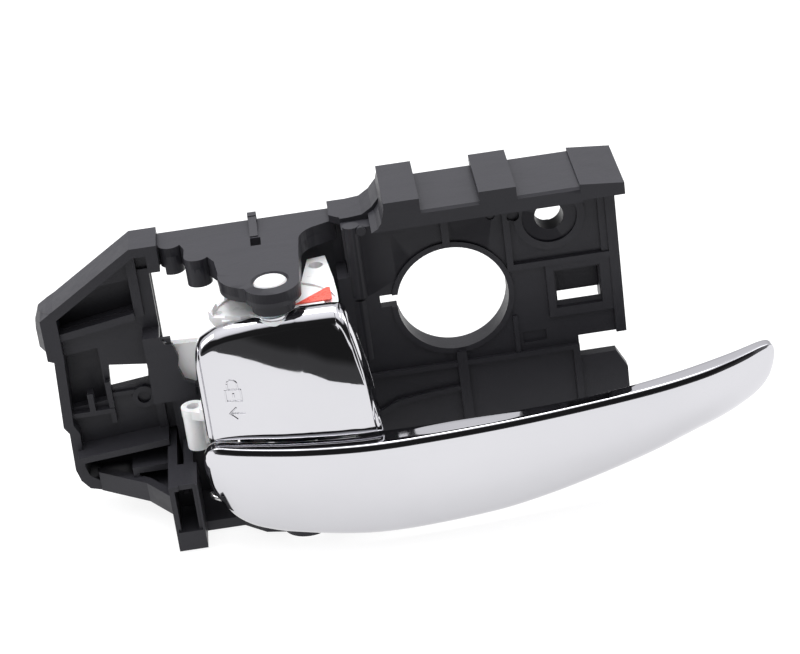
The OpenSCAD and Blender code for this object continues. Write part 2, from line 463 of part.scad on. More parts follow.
cam_o = concat([[-56.4, 5.6], [-52.2, 6.4], [-51, -6], [-50.6, -14], [-50.6, -18.8], [-59, -18.6]], arc(pin_x, pin_y, 4.2, 300, 240, 8), [[-70.6, -18.9], [-72.8, -19], [-79, -16.6], [-80, -13.4], [-78.2, -11.6], [-76.2, -9.4], [-76, -5.6], [-70, -5.2], [-66, -11], [-60.4, -12.4], [-58.4, -6]]);
function cap_in(o) = [for (i = [0:8]) let(x = -78.4 + i * 3.4) [x, lk(x, t_cy) + o]];
module lock_cam() color([0.93, 0.93, 0.91]) {
  difference() {
    union() {
      zex(cam_z - 2.6, cam_z) polygon(cam_o);
      at_pin(-33.6) cylinder(r = 4.6, h = 33.6 - 5);
      // web and ribs inside the cap
      bx(-77, -52, -18.4, -16.6, -31, cam_z - 1);
      for (x = [-77, -53.4]) bx(x, x + 1.6, -20.6, -16.6, -31, cam_z - 2);
      for (z = [-22.6, -31]) zex(z, z + 1.6) polygon(concat([[-51.2, -16.6], [-78.4, -16.6]], cap_in(0.9)));
      for (x = [-77, -61, -53.4]) bx(x, x + 1.6, lk(x, t_cy) + 0.9, -16.6, -31, -21);
      // left arm
      yex(5, 7.2) polygon([[-94, -22], [-92.8, -20.8], [-75.4, -21.6], [-75.4, -31.2], [-92.8, -31.2], [-94, -30]]);
      zex(-31, -21.6) polygon([[-78.6, -17], [-76.6, -17], [-75.4, 5.4], [-77.6, 5.4]]);
      for (z = [-30.4, -23.4]) zex(z, z + 1.6) polygon([[-77.6, -10], [-85, 5.4], [-75.6, 5.4], [-76.6, -16]]);
      zex(-33, -30.6) polygon([[-77, -18], [-83.4, -13.4], [-86, -10.6], [-85.4, -4.6], [-77, -12.4], [-71, -14]]);
      translate([-87.6, -6.4, -34]) cylinder(r = 2.8, h = 2.2, $fn = 48);
      zex(-34, -31.8) polygon([[-84, -11.4], [-88.2, -9.1], [-86.4, -4], [-83, -5.6], [-81, -12]]);
      // ring near the lug
      translate([-77.6, -14.6, cam_z - 0.4]) cylinder(r = 1.9, h = 1.5, $fn = 32);
    }
    at_pin(-50) cylinder(r = pin_r + play, h = 60);
    translate([-77.6, -14.6, cam_z - 1.4]) cylinder(r = 0.9, h = 4, $fn = 24);
    at_pin(cam_z - 0.5) tube(11.3, 14.2, 2);
    translate([-54.6, 1.8, cam_z - 5]) cylinder(r = 1.7, h = 8, $fn = 32);
    translate([-87.6, -6.4, -36]) cylinder(r = 1.45, h = 8, $fn = 32);
  }
}
module lock_indicator() color([0.85, 0.2, 0.16]) zex(cam_z, cam_z + 0.35) polygon([[-60.2, -17.5], [-52.8, -11.1], [-52.1, -11.3], [-51.9, -16.9], [-52.4, -17.4]]);
module rod_clip() color([0.95, 0.95, 0.93]) translate([-87.6, -6.4, 0]) {
  difference() {
    union() {
      translate([0, 0, -42.4]) cylinder(r = 2.7, h = 8.4);
      bx(-0.6, 2.6, -2.1, 2.1, -41, -34);
    }
    translate([0, 0, -43]) cylinder(r = 1.45, h = 20, $fn = 32);
  }
}
module detent_ball() color([0.75, 0.76, 0.78]) translate([-72.5, -8.5, -3.55]) sphere(r = 1.5, $fn = 32);
module detent_spring() color([0.62, 0.63, 0.66]) wire([for (i = [0:72]) let(a = 360 * 4.5 * i / 72) [-72.5 + 1.15 * cos(a), -8.5 + 1.15 * sin(a), -1.75 + 2.9 * i / 72]], 0.22, 6);
module bump_stop() color([0.08, 0.08, 0.08]) {
  bx(-80.6, -79.3, 2.2, 6.2, -51.4, -45.4);
  bx(-82.4, -79.3, 1.2, 3, -51.4, -45.4);
}

housing();
lower_bush();
pivot_pin();
retaining_ring();
upper_washer();
mid_washer();
lower_washer();
pull_lever();
lever_carrier();
carrier_screws();
return_spring();
spring_sleeve();
cable_clip();
lock_cap();
lock_cam();
lock_indicator();
rod_clip();
detent_ball();
detent_spring();
bump_stop();
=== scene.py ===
import json
import math
import bpy
import bmesh
import numpy as np
from mathutils import Matrix, Vector


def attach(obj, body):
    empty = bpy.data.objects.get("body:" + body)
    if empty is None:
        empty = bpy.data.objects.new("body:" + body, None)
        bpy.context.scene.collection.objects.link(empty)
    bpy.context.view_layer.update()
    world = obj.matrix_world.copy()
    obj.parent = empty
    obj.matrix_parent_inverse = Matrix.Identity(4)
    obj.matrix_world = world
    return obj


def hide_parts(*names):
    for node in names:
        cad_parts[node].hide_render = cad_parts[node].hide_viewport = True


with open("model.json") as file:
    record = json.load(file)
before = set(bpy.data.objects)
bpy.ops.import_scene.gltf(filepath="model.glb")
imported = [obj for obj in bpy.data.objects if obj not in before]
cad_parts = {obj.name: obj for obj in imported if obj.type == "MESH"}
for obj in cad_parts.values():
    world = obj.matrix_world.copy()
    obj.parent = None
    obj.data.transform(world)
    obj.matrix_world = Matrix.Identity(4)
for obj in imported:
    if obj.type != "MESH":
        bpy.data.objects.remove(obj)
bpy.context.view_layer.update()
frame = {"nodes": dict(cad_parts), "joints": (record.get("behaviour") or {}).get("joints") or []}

MM = 0.001
scene = bpy.context.scene
nodes = frame["nodes"]
joint = {j["name"]: j for j in frame["joints"]}
PX, PY = [v / MM for v in joint["lever_pull"]["pos_m"][:2]]


# ------------------------------------------------------------------ materials
class Mat:
    def __init__(self, name):
        self.m = bpy.data.materials.new(name)
        self.m.use_nodes = True
        self.nt = self.m.node_tree
        self.nt.nodes.clear()
        self.out = self.new("ShaderNodeOutputMaterial")
        self.b = self.new("ShaderNodeBsdfPrincipled")
        self.link(self.b.outputs[0], self.out.inputs[0])
        self.co = self.new("ShaderNodeTexCoord").outputs["Object"]

    def new(self, kind):
        return self.nt.nodes.new(kind)

    def link(self, a, b):
        self.nt.links.new(a, b)

    def set(self, **kw):
        for k, v in kw.items():
            self.b.inputs[k.replace("_", " ")].default_value = v

    def noise(self, scale, detail=3.0, rough=0.55, stretch=None, dist=0.0):
        n = self.new("ShaderNodeTexNoise")
        n.inputs["Scale"].default_value = scale
        n.inputs["Detail"].default_value = detail
        n.inputs["Roughness"].default_value = rough
        n.inputs["Distortion"].default_value = dist
        if stretch:
            mp = self.new("ShaderNodeMapping")
            mp.inputs["Scale"].default_value = stretch
            self.link(self.co, mp.inputs[0])
            self.link(mp.outputs[0], n.inputs["Vector"])
        else:
            self.link(self.co, n.inputs["Vector"])
        return n.outputs["Fac"]

    def voronoi(self, scale):
        n = self.new("ShaderNodeTexVoronoi")
        n.inputs["Scale"].default_value = scale
        self.link(self.co, n.inputs["Vector"])
        return n.outputs["Distance"]

    def ramp(self, fac, stops):
        r = self.new("ShaderNodeValToRGB")
        e = r.color_ramp.elements
        while len(e) < len(stops):
            e.new(0.5)
        for el, (p, c) in zip(e, stops):
            el.position = p
            el.color = (*c, 1.0) if len(c) == 3 else c
        self.link(fac, r.inputs[0])
        return r.outputs[0]

    def range(self, fac, a, b, c, d):
        r = self.new("ShaderNodeMapRange")
        for i, v in enumerate((a, b, c, d)):
            r.inputs[i + 1].default_value = v
        self.link(fac, r.inputs[0])
        return r.outputs[0]

    def mix(self, fac, a, b, mode="MIX"):
        r = self.new("ShaderNodeMix")
        r.data_type = "RGBA"
        r.blend_type = mode
        for sock, v in ((r.inputs[0], fac), (r.inputs[6], a), (r.inputs[7], b)):
            if isinstance(v, (int, float)):
                sock.default_value = v
            elif isinstance(v, tuple):
                sock.default_value = (*v, 1.0)
            else:
                self.link(v, sock)
        return r.outputs[2]

    def math(self, op, a, b=0.0):
        r = self.new("ShaderNodeMath")
        r.operation = op
        for sock, v in ((r.inputs[0], a), (r.inputs[1], b)):
            if isinstance(v, (int, float)):
                sock.default_value = v
            else:
                self.link(v, sock)
        return r.outputs[0]

    def pointy(self):
        g = self.new("ShaderNodeNewGeometry")
        return g.outputs["Pointiness"]

    def bump(self, height, strength, dist, prev=None):
        r = self.new("ShaderNodeBump")
        r.inputs["Strength"].default_value = strength
        r.inputs["Distance"].default_value = dist
        self.link(height, r.inputs["Height"])
        if prev is not None:
            self.link(prev, r.inputs["Normal"])
        self.link(r.outputs[0], self.b.inputs["Normal"])
        return r.outputs[0]


def plastic_black(name, base=(0.0112, 0.0106, 0.0148), rough=0.38, grain=0.16):
    k = Mat(name)
    big = k.noise(38, 3)
    fine = k.noise(2600, 2, 0.6)
    flow = k.noise(220, 4, 0.6, stretch=(0.35, 1.0, 1.6), dist=0.6)
    dark = k.mix(k.range(big, 0.3, 0.7, 0.0, 1.0), tuple(c * 0.86 for c in base), tuple(c * 1.22 for c in base))
    speck = k.range(k.noise(5200, 1), 0.70, 0.80, 0.0, 0.35)
    col = k.mix(speck, dark, (0.055, 0.055, 0.06))
    edge = k.range(k.pointy(), 0.515, 0.60, 0.0, 0.4)
    col = k.mix(edge, col, (0.06, 0.06, 0.066))
    k.link(col, k.b.inputs["Base Color"])
    r = k.range(flow, 0.25, 0.75, rough - 0.06, rough + 0.09)
    r = k.math("ADD", r, k.range(fine, 0.3, 0.7, -0.03, 0.03))
    k.link(r, k.b.inputs["Roughness"])
    k.set(Specular_IOR_Level=0.17, IOR=1.5)
    n = k.bump(k.voronoi(1900), grain, 0.00006)
    k.bump(k.noise(70, 2, 0.5), 0.10, 0.0004, n)
    return k.m


def chrome(name):
    k = Mat(name)
    tone = k.range(k.noise(30, 3), 0.3, 0.7, 0.0, 1.0)
    col = k.mix(tone, (0.568, 0.565, 0.590), (0.592, 0.589, 0.613))
    k.link(col, k.b.inputs["Base Color"])
    smear = k.noise(90, 5, 0.65, stretch=(0.6, 1.0, 2.2), dist=0.8)
    r = k.range(smear, 0.35, 0.8, 0.035, 0.085)
    micro = k.range(k.noise(1500, 2, 0.5, stretch=(0.15, 1, 1)), 0.55, 0.8, 0.0, 0.04)
    k.link(k.math("ADD", r, micro), k.b.inputs["Roughness"])
    k.set(Metallic=1.0)
    n = k.bump(k.noise(420, 2, 0.5), 0.02, 0.0001)
    k.bump(k.noise(60, 1, 0.4), 0.035, 0.0003, n)
    return k.m


def acetal(name, base=(0.86, 0.865, 0.87), sss=0.12):
    k = Mat(name)
    t = k.range(k.noise(60, 3), 0.3, 0.7, 0.0, 1.0)
    col = k.mix(t, tuple(c * 0.965 for c in base), base)
    k.link(col, k.b.inputs["Base Color"])
    k.link(k.range(k.noise(300, 4), 0.3, 0.7, 0.26, 0.40), k.b.inputs["Roughness"])
    k.set(Specular_IOR_Level=0.5, Subsurface_Weight=sss, Subsurface_Scale=0.002)
    k.bump(k.noise(900, 2), 0.08, 0.00006)
    return k.m


def paint_red(name):
    k = Mat(name)
    t = k.range(k.noise(400, 4), 0.3, 0.75, 0.0, 1.0)
    k.link(k.mix(t, (0.80, 0.085, 0.055), (0.90, 0.13, 0.09)), k.b.inputs["Base Color"])
    k.link(k.range(k.noise(1200, 2), 0.3, 0.7, 0.22, 0.36), k.b.inputs["Roughness"])
    k.bump(k.noise(1400, 2), 0.1, 0.00005)
    return k.m


def steel(name):
    k = Mat(name)
    t = k.range(k.noise(180, 4), 0.3, 0.7, 0.0, 1.0)
    k.link(k.mix(t, (0.50, 0.50, 0.51), (0.66, 0.655, 0.64)), k.b.inputs["Base Color"])
    k.link(k.range(k.noise(900, 3, 0.6, stretch=(1, 1, 6)), 0.3, 0.7, 0.2, 0.42), k.b.inputs["Roughness"])
    k.set(Metallic=1.0)
    k.bump(k.noise(1600, 3, 0.6, stretch=(1, 1, 8)), 0.12, 0.00005)
    return k.m


def rubber(name):
    k = Mat(name)
    t = k.range(k.noise(300, 4), 0.3, 0.7, 0.0, 1.0)
    k.link(k.mix(t, (0.016, 0.016, 0.016), (0.035, 0.034, 0.033)), k.b.inputs["Base Color"])
    k.link(k.range(k.noise(700, 3), 0.3, 0.7, 0.68, 0.9), k.b.inputs["Roughness"])
    k.bump(k.noise(2400, 3), 0.25, 0.0001)
    return k.m


M_BASE = plastic_black("base_plastic")
M_CARR = plastic_black("carrier_plastic", (0.011, 0.011, 0.014), 0.42, 0.2)
M_CHROME = chrome("chrome_plate")
M_WHITE = acetal("white_acetal")
M_MILKY = acetal("milky_acetal", (0.80, 0.81, 0.82), 0.3)
M_PIN = acetal("pin_acetal", (0.60, 0.60, 0.60), 0.05)
M_PIN.node_tree.nodes["Principled BSDF"].inputs["Specular IOR Level"].default_value = 0.25
M_RED = paint_red("red_mark")
M_STEEL = steel("zinc_steel")
M_RUBBER = rubber("rubber")

NODE_MAT = {
    "housing": M_BASE, "lever_carrier": M_CARR, "lower_bush": M_MILKY, "pivot_pin": M_PIN,
    "retaining_ring": M_STEEL, "upper_washer": M_MILKY, "mid_washer": M_MILKY, "lower_washer": M_STEEL,
    "pull_lever": M_CHROME, "carrier_screws": M_STEEL, "return_spring": M_STEEL, "spring_sleeve": M_MILKY,
    "cable_clip": M_WHITE, "lock_cap": M_CHROME, "lock_cam": M_WHITE, "lock_indicator": M_RED,
    "rod_clip": M_WHITE, "detent_ball": M_STEEL, "detent_spring": M_STEEL, "bump_stop": M_RUBBER,
}
BEVEL = {"housing": 0.32, "lever_carrier": 0.25, "pivot_pin": 0.2, "lock_cam": 0.28, "rod_clip": 0.35, "cable_clip": 0.3,
         "lower_bush": 0.15, "upper_washer": 0.12, "mid_washer": 0.12, "lower_washer": 0.06, "retaining_ring": 0.12,
         "carrier_screws": 0.12, "spring_sleeve": 0.1, "bump_stop": 0.25, "lock_indicator": 0.08}
for n, o in nodes.items():
    o.data.materials.clear()
    o.data.materials.append(NODE_MAT[n])
    if n in BEVEL:
        w = o.modifiers.new("weld", "WELD")
        w.merge_threshold = 0.000004
        b = o.modifiers.new("bevel", "BEVEL")
        b.width = BEVEL[n] * MM
        b.segments = 2
        b.limit_method = "ANGLE"
        b.angle_limit = math.radians(32)
        b.use_clamp_overlap = True
        b.harden_normals = False
        b.miter_outer = "MITER_ARC"
        b.face_strength_mode = "FSTR_ALL"
        s = o.modifiers.new("wn", "WEIGHTED_NORMAL")
        s.keep_sharp = True
        s.use_face_influence = True


# ------------------------------------------------------------------ mesh helpers
def lk(x, t):
    t = np.asarray(t, float)
    return np.interp(x, t[:, 0], t[:, 1])


def smooth_rows(rows, n):
    """Rows of control values along the part, splined against their index."""
    rows = np.asarray(rows, float)
    k = len(rows)
    u = np.linspace(0, k - 1, n)
    out = np.zeros((n, rows.shape[1]))
    for q, t in enumerate(u):
        i = min(int(t), k - 2)
        f = t - i
        p0, p1, p2, p3 = rows[max(i - 1, 0)], rows[i], rows[i + 1], rows[min(i + 2, k - 1)]
        m1, m2 = (p2 - p0) / 2, (p3 - p1) / 2
        if i == 0:
            m1 = p2 - p1
        if i == k - 2:
            m2 = p2 - p1
        out[q] = (2 * f**3 - 3 * f**2 + 1) * p1 + (f**3 - 2 * f**2 + f) * m1 + (-2 * f**3 + 3 * f**2) * p2 + (f**3 - f**2) * m2
    return out


def make(name, verts, faces, mat, body, slot, node=None, sharp=38, flip=False):
    me = bpy.data.meshes.new(name)
    me.from_pydata([tuple(v) for v in verts], [], faces)
    bm = bmesh.new()
    bm.from_mesh(me)
    bmesh.ops.recalc_face_normals(bm, faces=bm.faces)
    for e in bm.edges:
        if len(e.link_faces) == 2 and e.calc_face_angle(0) > math.radians(sharp):
            e.smooth = False
    for f in bm.faces:
        f.smooth = True
    bm.to_mesh(me)
    bm.free()
    me.materials.append(mat)
    o = bpy.data.objects.new(name, me)
    scene.collection.objects.link(o)
    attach(o, body)
    if node:
        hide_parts(*([node] if isinstance(node, str) else node))
    return o


def loft(P):
    """Closed sections P[i][j] joined along i, with both ends filled by fans."""
    n, m = P.shape[:2]
    v = [tuple(p * MM) for p in P.reshape(-1, 3)]
    f = [(i * m + j, i * m + (j + 1) % m, (i + 1) * m + (j + 1) % m, (i + 1) * m + j) for i in range(n - 1) for j in range(m)]
    for i in (0, n - 1):
        c = len(v)
        v.append(tuple(P[i].mean(axis=0) * MM))
        f += [(i * m + j, i * m + (j + 1) % m, c) for j in range(m)]
    return v, f


def tube(path, r, seg=14, closed=False):
    path = [Vector(p) for p in path]
    m = len(path)
    v, f = [], []
    up = Vector((0, 0, 1))
    for i, p in enumerate(path):
        t = (path[min(i + 1, m - 1)] - path[max(i - 1, 0)]).normalized()
        u = t.cross(up)
        if u.length < 0.2:
            u = t.cross(Vector((1, 0, 0)))
        u.normalize()
        w = t.cross(u)
        for j in range(seg):
            a = 2 * math.pi * j / seg
            v.append(tuple((p + (u * math.cos(a) + w * math.sin(a)) * r) * MM))
    for i in range(m - 1):
        for j in range(seg):
            f.append((i * seg + j, i * seg + (j + 1) % seg, (i + 1) * seg + (j + 1) % seg, (i + 1) * seg + j))
    for i in (0, m - 1):
        c = len(v)
        v.append(tuple(path[i] * MM))
        f += [(i * seg + j, i * seg + (j + 1) % seg, c) for j in range(seg)]
    return v, f


# ------------------------------------------------------------------ chromed lever
# x, ridge y, top z, bottom z, flange depth
LV = [[-86.35, -20.4, -39.9, -41.3, 0.8], [-86.15, -21.0, -38.2, -43.4, 1.9], [-85.6, -22.2, -36.7, -46.3, 3.0],
      [-84.7, -23.4, -35.3, -49.2, 3.8], [-83.3, -24.5, -34.3, -52.3, 4.4], [-81.5, -25.5, -34.0, -54.5, 4.6],
      [-78.4, -26.8, -34.0, -56.4, 4.7], [-75, -28.0, -34, -57.5, 4.7], [-70, -29.6, -34, -58.3, 4.9], [-64.1, -31.2, -34, -58.8, 5.0],
      [-57, -32.6, -34, -59.4, 5.5], [-50, -33.5, -34, -59.8, 6.0], [-43, -33.8, -34, -59.9, 6.4], [-36, -33.6, -34, -59.85, 6.1],
      [-28, -33.2, -34, -59.6, 5.8], [-19, -32.5, -34, -59.1, 5.2], [-10, -31.5, -34, -58.0, 4.6], [-1, -30.2, -34, -56.6, 4.1],
      [8, -28.7, -34, -55.0, 4.2], [16.5, -27.0, -34, -53.4, 4.6], [24, -25.0, -34, -51.8, 4.9], [31, -22.5, -34, -50.2, 5.0],
      [36.5, -19.8, -34, -48.9, 4.6], [40.8, -17.3, -34, -47.4, 4.1], [43.8, -15.3, -34.05, -45.6, 3.6], [45.9, -13.8, -34.35, -43.2, 3.0],
      [47.0, -12.9, -34.9, -40.8, 2.3], [47.55, -12.45, -35.7, -38.8, 1.5], [47.72, -12.25, -36.5, -37.5, 0.9]]


def lever_section(row):
    x, yr, zt, zb, d = row
    h = zt - zb
    q = min(1.0, h / 14.0)
    g, k, w = 3.0 * q * min(1.0, h / 17) ** 2, 2.4 * min(1.0, h / 18) ** 1.8, 1.9 * q
    bl = 0.62 * min(1.0, h / 14)
    y = []
    # back lip and flange top
    y += [(yr + d, zt - 1.5 * q), (yr + d, zt - 0.45 * q), (yr + d - 0.14 * q, zt - 0.13 * q), (yr + d - 0.45 * q, zt)]
    for t in (0.25, 0.5, 0.75):
        y.append((yr + d - 0.45 * q + (1.4 * q - d) * t, zt))
    # tight edge, then the narrow leaning band above the face
    y += [(yr + 0.95 * q, zt), (yr + 0.74 * q, zt - 0.04 * q), (yr + 0.58 * q, zt - 0.15 * q), (yr + 0.47 * q, zt - 0.34 * q),
          (yr + 0.30 * q, zt - 0.70 * q), (yr + 0.14 * q, zt - 1.06 * q), (yr + 0.03 * q, zt - 1.34 * q)]

    def face(t):
        return yr + k * t * t - bl * 4 * t * (1 - t)
    z0, z1 = zt - 1.5 * q, zb + g
    for i in range(19):
        t = i / 18
        y.append((face(t), z0 + (z1 - z0) * t))
    yb = face(1.0)
    a0 = min(math.atan((2 * k + 4 * bl) / max(z0 - z1, 0.5)), 0.5)
    G = g / (1 - math.sin(a0))
    for i in range(1, 8):
        s = a0 + (math.pi / 2 - a0) * i / 7
        y.append((yb + G * (math.cos(a0) - math.cos(s)), zb + G * (1 - math.sin(s))))
    ye = max(yb + G * math.cos(a0) + 0.3 * q, yr + k + d * 0.7)
    y += [(ye - 0.3 * q, zb), (ye, zb + 0.25 * q), (ye, zb + w * 0.8), (ye - 0.2 * q, zb + w)]
    # inner wall
    y.append((yb + w + 0.9 * q, zb + w))
    y.append((yb + w + 0.2 * q, zb + w + 0.8 * q))
    for i in range(11):
        t = 0.93 - 0.9 * i / 10
        y.append((face(t) + w, z0 + (z1 - z0) * t))
    y += [(yr + w + 0.1 * q, zt - w - 0.9 * q), (yr + w + 0.8 * q, zt - w), (max(yr + d - 0.1, yr + w + 0.9 * q), zt - w)]
    return [(x, a, b) for a, b in y]


rows = smooth_rows(LV, 240)
P = np.array([lever_section(r) for r in rows])
lever = make("lever_shell", *loft(P), M_CHROME, "lever", "chrome", "pull_lever", sharp=50)

# ------------------------------------------------------------------ chromed lock cap
# x, bottom y, top z, back edge y, height of the rounding, step of the raised rim
CP = [[-84.72, -19.0, -18.4, -15.6, 0.6, 0], [-84.6, -19.8, -15.8, -15.6, 1.2, 0], [-84.3, -20.7, -13.2, -15.8, 2.0, 0], [-83.85, -21.25, -11.5, -16.0, 2.4, 0],
      [-83.5, -21.42, -10.6, -16.2, 2.6, 0], [-83.38, -21.2, -10.4, -16.2, 2.6, 0], [-83.24, -21.3, -10.1, -16.3, 2.6, 0], [-83.1, -21.95, -9.8, -16.4, 2.7, 0],
      [-82.5, -22.3, -8.9, -16.6, 2.8, 0], [-81.2, -22.6, -7.9, -17.1, 2.9, 0], [-79.4, -23.0, -6.9, -17.6, 3, 0], [-77.0, -23.5, -6.1, -18.2, 3, 0], [-74.6, -24.1, -5.6, -18.7, 3, 0],
      [-72, -24.8, -5.15, -19.0, 3, 0], [-69.6, -25.5, -4.8, -19.1, 3, 0], [-68.7, -25.75, -4.72, -20.4, 3, 0], [-66.9, -26.2, -4.55, -22.3, 3, 0], [-65, -26.6, -4.4, -22.8, 3, 0], [-63.1, -27.0, -4.25, -22.3, 3, 0],
      [-61.3, -27.3, -4.15, -20.4, 3, 0], [-60.4, -27.5, -4.1, -19.1, 3, 0], [-58.0, -27.9, -4.1, -19.0, 3, 0],
      [-55.4, -28.35, -4.15, -19.0, 3, 0], [-53.2, -28.6, -4.2, -19.0, 3, 0], [-52.1, -28.7, -4.25, -19.0, 3.1, 0.05], [-51.3, -28.8, -4.35, -19.0, 3.6, 0.25],
      [-50.6, -28.9, -4.5, -19.0, 4.7, 0.42], [-49.9, -28.95, -4.9, -19.1, 6.6, 0.45], [-49.3, -29.0, -5.8, -19.2, 7.4, 0.45], [-48.9, -29.0, -7.4, -19.3, 7.9, 0.42], [-47.9, -29.0, -11.4, -19.8, 8.5, 0.38],
      [-47.05, -29.0, -15.2, -20.3, 10.0, 0.32], [-46.6, -29.0, -17.6, -20.6, 13.6, 0.25], [-46.1, -29.0, -20.2, -20.8, 12.6, 0.0], [-45.4, -28.8, -26.2, -21.1, 6.6, 0.0], [-44.95, -28.5, -30.6, -21.3, 2.4, 0.0], [-44.8, -28.2, -31.9, -21.3, 1.2, 0.0]]
EDGE = [[-84.7, -10.5], [-78.7, -11], [-74, -12.6], [-69, -14.7], [-63.6, -16.6], [-59, -17.6], [-55, -19.9], [-50, -21.3], [-44, -23]]


def cap_lean(x, z):
    """The face is upright at the bottom and leans back more and more above a curved line."""
    e = float(lk(x, EDGE))
    u = min(max(z - e + 4, 0.0), 4.0)
    v = max(z - e, 0.0)
    w = max(v - 6.3, 0.0)
    v = min(v, 6.3)
    return 0.01875 * u * u + 0.15 * v + 0.015 * v * v + 0.34 * w


def cap_section(row):
    x, yb, zt, yk, fz, step = row
    zb = -33.4
    h = zt - zb
    q = min(1.0, h / 10.0)
    w = 1.7 * q
    zf = max(zt - fz, zb + 0.8 * q)
    fz = zt - zf
    yf = yb + cap_lean(x, zf)
    fy = min(3.3 + max(0.0, fz - 3.1) * 1.6, max(yk, -19.1 if x > -72 else yk) - 0.35 - yf)
    s0 = 0.0 if step > 0.1 else math.atan((cap_lean(x, zf) - cap_lean(x, zf - 0.1)) / 0.1)
    y = [(yk, zt - 0.5 * q), (yk - 0.12 * q, zt - 0.1 * q), (yk - 0.3 * q, zt)]
    for i in range(18, -1, -1):
        s = s0 + (math.pi / 2 - s0) * i / 18
        a = yf - step + (fy + step) * (math.cos(s0) - math.cos(s)) / math.cos(s0)
        b = zf + fz * (math.sin(s) - math.sin(s0)) / (1 - math.sin(s0))
        y.append((min(a, yk - 0.3 * q - 0.004 * (19 - i)), min(b, zt - 0.0005 * (19 - i))))
    y.append((yb + cap_lean(x, zf - 0.12) - step * 0.5, zf - 0.12))
    z0, z1 = zf - 0.25, zb + 0.7 * q
    for i in range(25):
        t = i / 24
        z = z0 + (z1 - z0) * t
        y.append((yb + cap_lean(x, z), z))
    y += [(yb + 0.1 * q, zb + 0.3 * q), (yb + 0.3 * q, zb + 0.08 * q), (yb + 0.6 * q, zb), (yb + w, zb)]
    for i in range(12):
        t = 0.97 - 0.95 * i / 11
        z = z0 + (z1 - z0) * t
        y.append((yb + cap_lean(x, z) + w, z))
    y += [(yf + w + fy * 0.35, zt - w - fz * 0.12), (max(yk - 0.05, yf + w + fy * 0.4), zt - w)]
    return [(x, a, b) for a, b in y]


cap_rows = smooth_rows(CP, 260)
P = np.array([cap_section(r) for r in cap_rows])
cap = make("lock_cap_shell", *loft(P), M_CHROME, "lock", "chrome", "lock_cap", sharp=55)


def on_cap(x, z, out=0.0):
    return (x, float(np.interp(x, cap_rows[:, 0], cap_rows[:, 1])) + cap_lean(x, z) - out, z)


def bead(name, pts, r=0.2, body="lock"):
    """A fine raised line on the cap's face."""
    fine = []
    for a, b in zip(pts, pts[1:]):
        n = max(2, int(math.hypot(b[0] - a[0], b[1] - a[1]) / 0.18))
        fine += [(a[0] + (b[0] - a[0]) * i / n, a[1] + (b[1] - a[1]) * i / n) for i in range(n)]
    fine.append(pts[-1])
    return make(name, *tube([on_cap(x, z) for x, z in fine], r, 10), M_CHROME, body, "chrome", sharp=70)


# closed padlock and an arrow, raised on the cap
cx, cz = -77.0, -20.2
body = [(cx + 1.75 * sx, cz + sz) for sx, sz in ((-1, 0), (-1, -2.9), (1, -2.9), (1, 0), (-1, 0))]
bead("mark_lock_body", body)
bead("mark_lock_shackle", [(cx - 1.15, cz)] + [(cx - 1.15 * math.cos(math.radians(a)), cz + 1.3 + 1.15 * math.sin(math.radians(a))) for a in range(0, 181, 15)] + [(cx + 1.15, cz)])
bead("mark_lock_key", [(cx, cz - 1.0), (cx, cz - 1.9)], 0.26)
bead("mark_arrow", [(cx + 0.1, cz - 4.6), (cx - 1.5, cz - 6.1), (cx + 0.1, cz - 7.6)])
bead("mark_arrow_shaft", [(cx - 1.4, cz - 6.1), (cx + 2.0, cz - 6.1)])

# ------------------------------------------------------------------ springs, as smooth wire
turns = 6
coil = [(PX + 6.1 * math.cos(a), PY + 6.1 * math.sin(a), -53.9 + 9.4 * i / 300)
        for i in range(301) for a in [math.radians(200 + 360 * turns * i / 300)]]
a1 = math.radians(200 + 360 * turns + 22)
path = [(-86.3, -14.6, -51), (-86.2, -15.3, -51.03), (-85.9, -16, -51.1), (-85.4, -16.4, -51.25), (-84.6, -16.6, -51.5), (-80, -17.7, -52.4), (-76, -18.7, -53.15), (-72.4, -19.6, -53.8)] + coil + \
       [(PX + 6.3 * math.cos(a1), PY + 6.3 * math.sin(a1), -44.7), (PX - 1, PY - 6.1, -44.9), (PX + 3, PY - 6.2, -44.9)]
make("return_spring_wire", *tube(path, 0.55), M_STEEL, "lever", "steel", "return_spring", sharp=60)
path = [(-72.5 + 1.15 * math.cos(a), -8.5 + 1.15 * math.sin(a), -1.75 + 2.9 * i / 200) for i in range(201) for a in [2 * math.pi * 4.5 * i / 200]]
make("detent_spring_wire", *tube(path, 0.22, 8), M_STEEL, "base", "steel", "detent_spring", sharp=60)


# ------------------------------------------------------------------ stage, light and camera
def table(name, x, y0, y1, z, r):
    """A flat white table top whose front corners are rounded."""
    me = bpy.data.meshes.new(name)
    v = [(x - r + r * math.cos(a), y0 + r - r * math.sin(a), z) for a in [math.radians(7.5 * i) for i in range(13)]]
    v = [(x, y1, z)] + v + [(-a, b, c) for a, b, c in reversed(v)] + [(-x, y1, z)]
    me.from_pydata(v, [], [tuple(range(len(v) - 1, -1, -1))])
    o = bpy.data.objects.new(name, me)
    scene.collection.objects.link(o)
    return o


floor = table("floor", 2.2, -0.30, 2.4, -0.0626, 0.5)
k = Mat("floor_white")
t = k.range(k.noise(3, 2), 0.3, 0.7, 0.0, 1.0)
k.link(k.mix(t, (0.225, 0.225, 0.225), (0.235, 0.235, 0.235)), k.b.inputs["Base Color"])
k.set(Roughness=0.9, Specular_IOR_Level=0.1, Emission_Color=(1, 1, 1, 1), Emission_Strength=0.86)
floor.data.materials.append(k.m)

world = bpy.data.worlds.new("studio")
scene.world = world
world.use_nodes = True
nt = world.node_tree
nt.nodes.clear()
out = nt.nodes.new("ShaderNodeOutputWorld")
bg = nt.nodes.new("ShaderNodeBackground")
tc = nt.nodes.new("ShaderNodeTexCoord")
sep = nt.nodes.new("ShaderNodeSeparateXYZ")
nt.links.new(tc.outputs["Generated"], sep.inputs[0])


